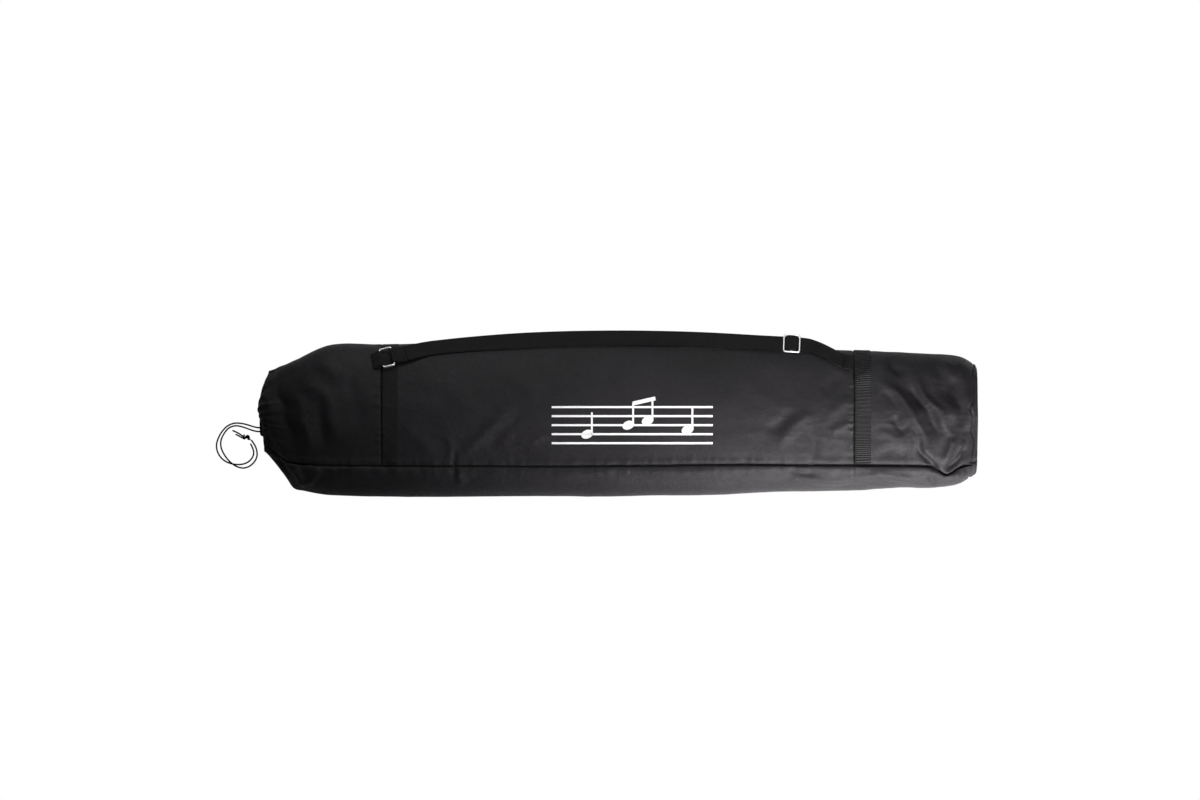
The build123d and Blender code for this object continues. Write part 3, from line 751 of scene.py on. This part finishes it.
def panel(name, x_start, x_end, start, end, *nodes):
    """One panel between two x values and between two seam angles, turned in at its edges."""
    xs = XS[(XS > x_start + 0.3) & (XS < x_end - 0.3)]
    xs = np.concatenate([[x_start + 0.02], xs, [x_end - 0.02]])
    a0, a1 = np.interp(xs, XS, start), np.interp(xs, XS, end)
    count = max(24, int((a1 - a0).max() / TURN * COLUMNS))
    t = np.linspace(0, 1, count)
    x = np.repeat(xs[:, None], count, 1)
    angle = a0[:, None] + (a1 - a0)[:, None] * t
    x = x + (end_seam(angle) - x_end) * smoothstep(515, x_end, x) * (x_end > 500)
    x = x + mouth_edge(angle) * smoothstep(-526, MOUTH_END + 0.5, x) * (x_start < -500)
    out = np.zeros_like(x)
    out[:, 0] = out[:, -1] = -2.2
    if x_start > MOUTH_END + 1:
        out[0, :] = np.minimum(out[0, :], -1.6)
    out[-1, :] = np.minimum(out[-1, :], -1.0 if x_end < 0 else -1.6)
    points = on_bag(x, angle, out)
    across = t[None, :] * (a1 - a0)[:, None] * MEAN_RADIUS
    uvs = np.stack([x, across], 2).reshape(-1, 2)
    obj = mesh_object(name, points.reshape(-1, 3), grid_faces(len(xs), count), uvs=uvs)
    return finish_piece(obj, "bag", "shell_cloth", CLOTH, *nodes)


def make_panels():
    wrap = (BACK + 0.004, FRONT + TURN - 0.004)
    gusset = (FRONT + 0.004, BACK - 0.004)
    ends = MOUTH_END + 0.5, BASE_END - 0.4
    panel("mouth_panel_cloth", ends[0], MOUTH_SEAM, *wrap, "mouth_panel")
    panel("middle_panel_cloth", MOUTH_SEAM, BASE_SEAM, *wrap, "middle_panel")
    panel("base_panel_cloth", BASE_SEAM, ends[1], *wrap, "base_panel")
    panel("gusset_cloth", *ends, *gusset, "gusset_panel")


def cap(name, row, rings, node):
    """A closed-in end: rings from the bag's last outline, each a list of points round the bag."""
    points = np.array([row, *rings])
    rows, columns = points.shape[:2]
    uvs = np.stack([points[..., 1], points[..., 2]], 2).reshape(-1, 2)
    obj = mesh_object(name, points.reshape(-1, 3), grid_faces(rows, columns, wrap=True), uvs=uvs)
    return finish_piece(obj, "bag", "shell_cloth", CLOTH, node)


def end_seam(angle):
    """Where the base panel ends and the end panel begins, round the bag."""
    wave = 2.6 * np.sin(3 * angle + 0.6) + 1.6 * np.sin(7 * angle + 2.0) + 0.8 * np.sin(13 * angle)
    return np.minimum(550.8 + wave, 555.6)


def make_end_panel():
    rows, edge = [], end_seam(ANGLES)
    for t in np.linspace(0, 1, 9):
        out = -2.4 + 2.4 * float(smoothstep(0.0, 0.35, t)) + 0.5 * math.sin(math.pi * t)
        rows.append(on_bag(edge + (556.4 - edge) * t, ANGLES, np.full(COLUMNS, out)))
    row = rows[-1].copy()
    centre = np.array([0.0, (row[:, 1].max() + row[:, 1].min()) / 2, (row[:, 2].max() + row[:, 2].min()) / 2])
    rows.append(row)
    for t in np.linspace(0.06, 1.0, 34):
        shrink = 1 - t**1.6
        ring = centre + (row - centre) * shrink
        ring[:, 0] = 556.6 + 3.6 * math.sin(math.pi / 2 * min(1.0, 5.0 * t))
        ring[:, 0] += 0.8 * np.sin(3 * ANGLES + 9 * t) * shrink * (1 - shrink) * 3
        rows.append(ring)
    cap("end_panel_cloth", rows[0], rows[1:], "end_panel")


# How far the gathered cloth stands out beyond the mouth end, across the bag: y, distance.
MOUTH_BULGE = (
    (-50, -36, -12, -4, 10, 28, 42, 52, 62),
    (0.5, 3.0, 6.5, 9.5, 12.0, 12.0, 10.0, 7.5, 2.5),
)


def make_mouth():
    """Pleated cloth closing in from the last outline to the hem that the drawstring runs in."""
    row = on_bag(MOUTH_END + 0.5 + mouth_edge(ANGLES), ANGLES, np.zeros(COLUMNS))
    cy, cz = MOUTH_CENTRE
    angle = np.arctan2(row[:, 2] - cz, row[:, 1] - cy)
    pleats = np.sin(26 * angle + 1.6 * np.sin(3 * angle)) + 0.4 * np.sin(47 * angle + 2.0 * np.sin(2 * angle))
    hem = np.stack([np.full(COLUMNS, -554.0), cy + 20.0 * np.cos(angle), cz + 20.0 * np.sin(angle)], 1)
    rings = []
    for t in np.linspace(0.03, 1.0, 44):
        u = 1 - math.cos(math.pi / 2 * t)
        ring = row * (1 - u) + hem * u
        bulge = np.interp(ring[:, 1], *MOUTH_BULGE)
        ring[:, 0] = row[:, 0] - bulge * math.sin(math.pi / 2 * min(1.0, 1.25 * t))
        ring[:, 0] += (ring[:, 0] * -1 - 553.0) * float(smoothstep(0.72, 1.0, t))
        ring[:, 0] -= pleats * 1.3 * math.sin(math.pi * min(1.0, t + 0.1)) * (0.35 + 0.65 * t)
        fold = pleats * (1.0 * math.sin(math.pi * t) + 0.4)
        ring[:, 1] += fold * np.cos(angle) * 0.7
        ring[:, 2] += fold * np.sin(angle) * 0.7
        rings.append(ring)
    cap("mouth_gathers_cloth", row, rings, "mouth_gathers")


def make_hem():
    """The gathered hem round the drawstring, with an eyelet where the two ends come out."""
    cy, cz = MOUTH_CENTRE
    turns, sides = 420, 26
    points = []
    for i in range(turns):
        a = TURN * i / turns
        pleat = 0.55 * math.sin(34 * a + 1.2 * math.sin(3 * a)) + 0.25 * math.sin(59 * a)
        exit_ = math.exp(-((math.remainder(a - math.radians(EXIT_ANGLE), TURN) / 0.26) ** 4))
        for k in range(sides):
            b = TURN * k / sides
            r = CHANNEL_TUBE - 0.35 + pleat * (0.55 + 0.45 * math.cos(b))
            if math.cos(b - math.pi) > 0.3:
                r -= 2.6 * exit_ * (math.cos(b - math.pi) - 0.3)
            radial = CHANNEL_MAJOR + r * math.sin(b)
            points.append((HEM_X + r * math.cos(b), cy + radial * math.cos(a), cz + radial * math.sin(a)))
    faces = grid_faces(turns, sides, wrap=True)
    faces += closing_faces(turns, sides)
    uvs = [(i * 0.28, k * 1.1) for i in range(turns) for k in range(sides)]
    hem = mesh_object("mouth_hem", points, faces, uvs=uvs)
    finish_piece(hem, "bag", "shell_cloth", CLOTH, "drawstring_channel")
    arc = []
    for i in range(200):
        a = math.radians(EXIT_ANGLE + 20 + 320 * i / 199)
        arc.append((HEM_X, cy + CHANNEL_MAJOR * math.cos(a), cz + CHANNEL_MAJOR * math.sin(a)))
    finish_piece(tube("drawstring_in_hem", arc, CORD / 2), "bag", "cord", CORD_BLACK, "drawstring")


make_panels()
make_end_panel()
make_mouth()
make_hem()


# ---------- webbing and tapes sewn to the bag
def band_on_bag(name, x_start, x_end, start, end, low, high, material, slot, *nodes, count=340):
    """A strip of webbing that follows the cloth, filling the space between two heights over it."""
    xs = np.linspace(x_start, x_end, 16)
    crown = [(x, high + 0.12 * math.sin(math.pi * k / 15)) for k, x in enumerate(xs)]
    profile = [(xs[0], low), *crown, (xs[-1], low)]
    t = np.linspace(0, 1, count)
    px = np.array([p[0] for p in profile])
    out = np.repeat(np.array([p[1] for p in profile])[None, :], count, 0)
    out[0, :] = out[-1, :] = low
    a0, a1 = np.interp(px, XS, start), np.interp(px, XS, end)
    x = np.repeat(px[None, :], count, 0)
    angle = a0[None, :] + (a1 - a0)[None, :] * t[:, None]
    points = on_bag(x, angle, out)
    along = t[:, None] * (a1 - a0)[None, :] * MEAN_RADIUS
    uvs = np.stack([along, x - x_start], 2).reshape(-1, 2)
    obj = mesh_object(name, points.reshape(-1, 3), grid_faces(count, len(profile)), uvs=uvs)
    return finish_piece(obj, "bag", slot, material, *nodes)


def make_bands():
    start, end = BACK + 0.012, FRONT + TURN - 0.012
    girths = (("mouth", MOUTH_SEAM, -0.6, 0.45, FAINT), ("base", BASE_SEAM, -0.4, 1.25, GIRTH))
    for where, seam, low, high, look in girths:
        x, name = seam + 0.6, f"{where}_girth_webbing"
        band_on_bag(f"{name}_strip", x, x + WEB_WIDTH, start, end, low, high, look, "webbing", name)
    inside = (BACK + 0.1, FRONT + TURN - 0.1)
    for where, x in (("mouth", MOUTH_SEAM), ("base", BASE_SEAM), ("end", 551.0)):
        name = f"{where}_seam_binding"
        band_on_bag(f"{name}_tape", x - 4, x + 4, *inside, -5.6, -4.4, TAPE, "binding_tape", name)
    for name, edge, sign in (("front_gusset_binding", FRONT + TURN, -1), ("back_gusset_binding", BACK, 1)):
        near, far = edge - sign * 0.07, edge + sign * 0.10
        a, b = (far, near) if sign < 0 else (near, far)
        band_on_bag(f"{name}_tape", -540, 552, a, b, -4.4, -3.2, TAPE, "binding_tape", name, count=14)


make_bands()


# ---------- shoulder strap, ring and slider
def axes(heading, tilt, slope=0.0):
    """Along, across and outward directions of a strap that lies tilted."""
    a, t, s = math.radians(heading), math.radians(tilt), math.radians(slope)
    along = np.array([math.cos(a) * math.cos(s), math.sin(a) * math.cos(s), math.sin(s)])
    normal = np.array([-math.sin(a) * math.sin(t), math.cos(a) * math.sin(t), math.cos(t)])
    across = np.cross(normal, along)
    across /= np.linalg.norm(across)
    return along, across, np.cross(along, across)


RING_AXES = axes(14.0, 26.0)


def box_centre(node):
    low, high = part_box(node)
    return np.array((low + high) / 2) / MM


def ring_place(local):
    centre = box_centre("strap_ring")
    p = np.asarray(local, float)
    return centre + p[..., 0:1] * RING_AXES[0] + p[..., 1:2] * RING_AXES[1] + p[..., 2:3] * RING_AXES[2]


def rounded_rectangle(along, across, radius, steps=10):
    points = []
    for cx, cy, start in ((1, 1, 0), (-1, 1, 90), (-1, -1, 180), (1, -1, 270)):
        for k in range(steps + 1):
            a = math.radians(start + 90 * k / steps)
            x = cx * (along / 2 - radius) + radius * math.cos(a)
            y = cy * (across / 2 - radius) + radius * math.sin(a)
            points.append((x, y, 0))
    return np.array(points)


def strap_band(name, centres, frames, low, high, material, body, slot, *nodes, u0=0.0):
    """A flat strap: its section is carried along centres, each with (across, normal) directions."""
    half = WEB_WIDTH / 2
    top = [(w * half, high - 0.22 * abs(w) ** 6) for w in np.linspace(-1, 1, 15)]
    bottom = [(w * half, low + 0.22 * abs(w) ** 6) for w in np.linspace(1, -1, 9)]
    ring = top + bottom
    points, uvs, far = [], [], u0
    for i, (c, (across, normal)) in enumerate(zip(centres, frames)):
        if i:
            far += float(np.linalg.norm(c - centres[i - 1]))
        for y, z in ring:
            points.append(c + across * y + normal * z)
            uvs.append((far, y + half))
    rows, n = len(centres), len(ring)
    faces = grid_faces(rows, n, wrap=True)
    faces += [tuple(range(n))[::-1], tuple((rows - 1) * n + k for k in range(n))]
    obj = mesh_object(name, points, faces, uvs=uvs)
    return finish_piece(obj, body, slot, material, *nodes)


def strap_line(node, start, end):
    """Centres on the underside of a CAD strap layer, and the frames there."""
    fine = catmull(STRAP, 10)
    fine = fine[(fine[:, 0] >= start) & (fine[:, 0] <= end)]
    tree = cad_tree(node)
    heights = []
    for x, y, _ in fine:
        hit = tree.ray_cast(Vector((x, y, 200)), Vector((0, 0, -1)))[0]
        heights.append(hit.z if hit else np.nan)
    heights = np.array(heights)
    good = ~np.isnan(heights)
    heights = np.interp(fine[:, 0], fine[good, 0], heights[good])
    heights = blur(heights[None, :], 2.0, 1)[0]
    centres = np.stack([fine[:, 0], fine[:, 1], heights], 1)
    steps = np.gradient(centres, axis=0)
    frames = []
    for c, step, (_, _, tilt) in zip(centres, steps, fine):
        heading = math.degrees(math.atan2(step[1], step[0]))
        slope = math.degrees(math.atan2(step[2], math.hypot(step[0], step[1])))
        _, across, normal = axes(heading, tilt, slope)
        frames.append((across, normal))
    return [c - f[1] * WEB for c, f in zip(centres, frames)], frames


def turned_webbing(name, bar, direction, reach, drop, body, node, meet=None):
    """Webbing turned round a bar of the ring, its two layers brought together.

    meet is where the far end is led to: the strap's first point with its across and outward directions.
    """
    inner = RING_WIRE / 2 + 0.15
    outer = inner + WEB
    far, neck = direction * reach, direction * 4.5
    middle = []
    for k in range(9):
        t = k / 8
        x = far + (neck - far) * t
        middle.append((x, PLY + (inner - PLY) * smoothstep(0.0, 1.0, t) - drop * (1 - t)))
    mid = (inner + outer) / 2
    arc = [(-direction * mid * math.sin(a), mid * math.cos(a)) for a in np.linspace(0, math.pi, 15)]
    lower = [(x, -z - 2 * drop * (1 - k / 8)) for k, (x, z) in enumerate(middle)]
    path = middle + arc + lower[::-1]
    path = [(bar + x, z) for x, z in path]
    centres = np.array([(x, 0.0, z) for x, z in path])
    steps = np.gradient(centres, axis=0)
    world = ring_place(centres)
    frames = []
    for k, s in enumerate(steps):
        s = s / np.linalg.norm(s)
        n_local = np.array([-s[2], 0, s[0]])
        across, normal = RING_AXES[1], n_local[0] * RING_AXES[0] + n_local[2] * RING_AXES[2]
        if meet:
            share = float(smoothstep(4.0, reach, direction * (centres[k, 0] - bar)))
            side = math.copysign(1, normal.dot(meet[2]))
            world[k] += share * (meet[0] - ring_place(np.array([bar + far, 0, 0])))
            across = across * (1 - share) + meet[1] * share
            normal = normal * (1 - share) + side * meet[2] * share
        frames.append((across / np.linalg.norm(across), normal / np.linalg.norm(normal)))
    return strap_band(name, list(world), frames, -WEB / 2, WEB / 2, WEBBING, body, "webbing", node)


def make_strap():
    def layer(name, centres, frames, low, high, body, node):
        return strap_band(name, centres, frames, low, high, WEBBING, body, "webbing", node)

    centres, frames = strap_line("shoulder_strap_main", -333.9, 352.0)
    for k, c in enumerate(centres):
        lift = 0.9 * math.sin(0.035 * c[0] + 1.0) * float(bump(c[0], -60, 190))
        centres[k] = c + frames[k][1] * max(0.0, lift * 0.4)
    layer("shoulder_strap_top_layer", centres, frames, 0.0, WEB, "strap", "shoulder_strap_main")
    begin = (centres[0], *frames[0])
    reach = float((centres[0] - ring_place(np.array([9.0, 0, 0]))).dot(RING_AXES[0]))
    centres, frames = strap_line("shoulder_strap_return", -333.9, 262.0)
    layer("shoulder_strap_lower_layer", centres, frames, -0.05, WEB - 0.15, "strap", "shoulder_strap_return")
    centres, frames = strap_line("strap_sewn_end", 352.0, 366.6)
    n = len(centres)
    for k in range(n):
        t = k / (n - 1)
        centres[k] = centres[k] + np.array([0, 0, 1.9 * math.sin(math.pi * t**0.8) - 1.0 * t])
    sewn = layer("strap_end_in_seam", centres, frames, 0.0, WEB, None, "strap_sewn_end")
    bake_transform(sewn)
    bight = turned_webbing("strap_turn_at_ring", 9.0, 1, reach, 0.0, None, "strap_ring_bight", begin)
    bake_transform(bight)
    tab = turned_webbing("ring_tab_webbing", -9.0, -1, 15.0, 2.4, None, "ring_tab")
    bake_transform(tab)


def make_metal():
    path = ring_place(rounded_rectangle(*RING_SIZE, RING_BEND))
    ring = tube("strap_ring_wire", path, RING_WIRE / 2, 18, closed=True)
    finish_piece(ring, "ring", "ring_wire", RING_METAL, "strap_ring")
    centre = box_centre("slider_frame")
    along = np.array([0.998242, -0.057252, -0.015348])
    normal = np.array([0.037285, 0.405227, 0.913456])
    across = np.cross(normal, along)
    place = np.stack([along, across, normal])
    frame_path = centre + rounded_rectangle(*SLIDER_SIZE, SLIDER_BEND) @ place
    wire = tube("slider_wire_frame", frame_path, SLIDER_WIRE / 2, 18, closed=True)
    finish_piece(wire, "slider", "slider_wire", SLIDER_METAL, "slider_frame")
    bar_path = centre + np.array([[0, -14.0, 0], [0, 0, 0], [0, 14.0, 0]]) @ place
    bar = tube("slider_middle_bar", bar_path, SLIDER_WIRE / 2, 18)
    finish_piece(bar, "slider", "slider_wire", SLIDER_METAL, "slider_crossbar")
    hump = []
    for x in np.linspace(-9.8, 9.8, 33):
        z = -1.2 + 2.75 * float(smoothstep(9.0, 3.0, abs(x)))
        hump.append((x, 0, z))
    hump = np.array(hump)
    steps = np.gradient(hump, axis=0)
    frames = []
    for s in steps:
        s = s / np.linalg.norm(s)
        frames.append((across, -s[2] * along + s[0] * normal))
    path = list(centre + hump @ place)
    strap_band("slider_webbing", path, frames, 0.0, WEB, WEBBING, "slider", "webbing", "slider_webbing_hump")


make_strap()
make_metal()


# ---------- printed stave
def bag_tree():
    points, faces = POINTS.reshape(-1, 3), grid_faces(len(XS), COLUMNS, wrap=True)
    return BVHTree.FromPolygons([tuple(p) for p in points], faces)


def make_print():
    tree = bag_tree()
    cx, cy, spacing = 22.0, -17.0, 14.0
    points, faces, uvs = [], [], []

    def sheet_from(grid):
        """Adds one printed shape, given as rows of (x, y)."""
        start = len(points)
        rows, columns = len(grid), len(grid[0])
        for row in grid:
            for x, y in row:
                hit, normal, _, _ = tree.ray_cast(Vector((cx + x, cy + y, 200)), Vector((0, 0, -1)))
                points.append(tuple(hit + normal * (0.28 if normal.z > 0 else -0.28)))
                uvs.append((x, y))
        faces.extend(grid_faces(rows, columns, start=start))

    def bar(x0, y0, x1, y1, width, step=1.6):
        length = math.hypot(x1 - x0, y1 - y0)
        n, m = max(2, int(length / step)), max(2, int(width / 1.2) + 1)
        ux, uy = (x1 - x0) / length, (y1 - y0) / length
        grid = []
        for k in range(n + 1):
            row = []
            for i in range(m + 1):
                w = width * (i / m - 0.5)
                d = length * k / n
                row.append((x0 + ux * d - uy * w, y0 + uy * d + ux * w))
            grid.append(row)
        sheet_from(grid)

    def oval(x, y, a, b, turn):
        t = math.radians(turn)
        grid = []
        for r in np.linspace(0.02, 1, 7):
            row = []
            for k in range(49):
                q = TURN * k / 48
                px, py = a * r * math.cos(q), b * r * math.sin(q)
                row.append((x + px * math.cos(t) - py * math.sin(t), y + px * math.sin(t) + py * math.cos(t)))
            grid.append(row)
        sheet_from(grid)

    for i in range(-2, 3):
        bar(-125, i * spacing, 125, i * spacing, 3.2)
    for x, y in ((-70.0, -14.0), (-6.0, 0.0), (24.0, 7.0), (86.0, -7.0)):
        oval(x, y, 9.5, 6.6, 22)
        bar(x + 7.4, y, x + 7.4, y + 34.0, 2.8)
    bar(0.9, 33.5, 35.9, 41.5, 6.0)
    obj = mesh_object("printed_stave", points, faces, uvs=uvs)
    finish_piece(obj, "bag", "print", INK, "printed_emblem")


make_print()


# ---------- floor and light
def make_floor():
    mesh = bpy.data.meshes.new("floor")
    mesh.from_pydata([(-6, -6, 0), (6, -6, 0), (6, 6, 0), (-6, 6, 0)], [], [(0, 1, 2, 3)])
    floor = bpy.data.objects.new("floor", mesh)
    bpy.context.scene.collection.objects.link(floor)
    material = bpy.data.materials.new("white floor")
    material.use_nodes = True
    tree = material.node_tree
    shader = tree.nodes["Principled BSDF"]
    shader.inputs["Base Color"].default_value = (0.82, 0.82, 0.83, 1)
    shader.inputs["Roughness"].default_value = 0.9
    glow = tree.nodes.new("ShaderNodeEmission")
    glow.inputs[0].default_value = (1, 1, 1, 1)
    glow.inputs[1].default_value = 1.0
    mix = tree.nodes.new("ShaderNodeMixShader")
    rays = tree.nodes.new("ShaderNodeLightPath")
    tree.links.new(rays.outputs["Is Camera Ray"], mix.inputs[0])
    tree.links.new(shader.outputs[0], mix.inputs[1])
    tree.links.new(glow.outputs[0], mix.inputs[2])
    tree.links.new(mix.outputs[0], tree.nodes["Material Output"].inputs[0])
    mesh.materials.append(material)


def area_light(name, place, target, size, power, colour=(1, 1, 1), spread=math.pi):
    data = bpy.data.lights.new(name, "AREA")
    data.shape, data.size, data.size_y = "RECTANGLE", size[0], size[1]
    data.energy, data.color, data.spread = power, colour, spread
    light = bpy.data.objects.new(name, data)
    bpy.context.scene.collection.objects.link(light)
    light.location = place
    light.rotation_euler = (Vector(target) - Vector(place)).to_track_quat("-Z", "Y").to_euler()


def make_lights():
    world = bpy.data.worlds.new("studio")
    world.use_nodes = True
    world.node_tree.nodes["Background"].inputs[0].default_value = (0.95, 0.97, 1.0, 1)
    world.node_tree.nodes["Background"].inputs[1].default_value = 0.05
    bpy.context.scene.world = world
    area_light("key", (0.62, -0.85, 0.52), (0.42, -0.05, 0.05), (0.5, 0.35), 6.0, (1.0, 0.975, 0.985), 1.3)
    area_light("over", (0.25, 0.05, 1.5), (0.15, 0.0, 0.05), (0.5, 0.4), 1.0, (1, 1, 1), 1.2)
    area_light("back", (-0.1, 1.2, 0.9), (0.0, 0.0, 0.05), (1.2, 0.4), 9.5)
    scene = bpy.context.scene
    scene.view_settings.view_transform = "Standard"
    scene.view_settings.look = "None"
    scene.view_settings.exposure = 0.0
    scene.render.film_transparent = False


make_floor()
make_lights()
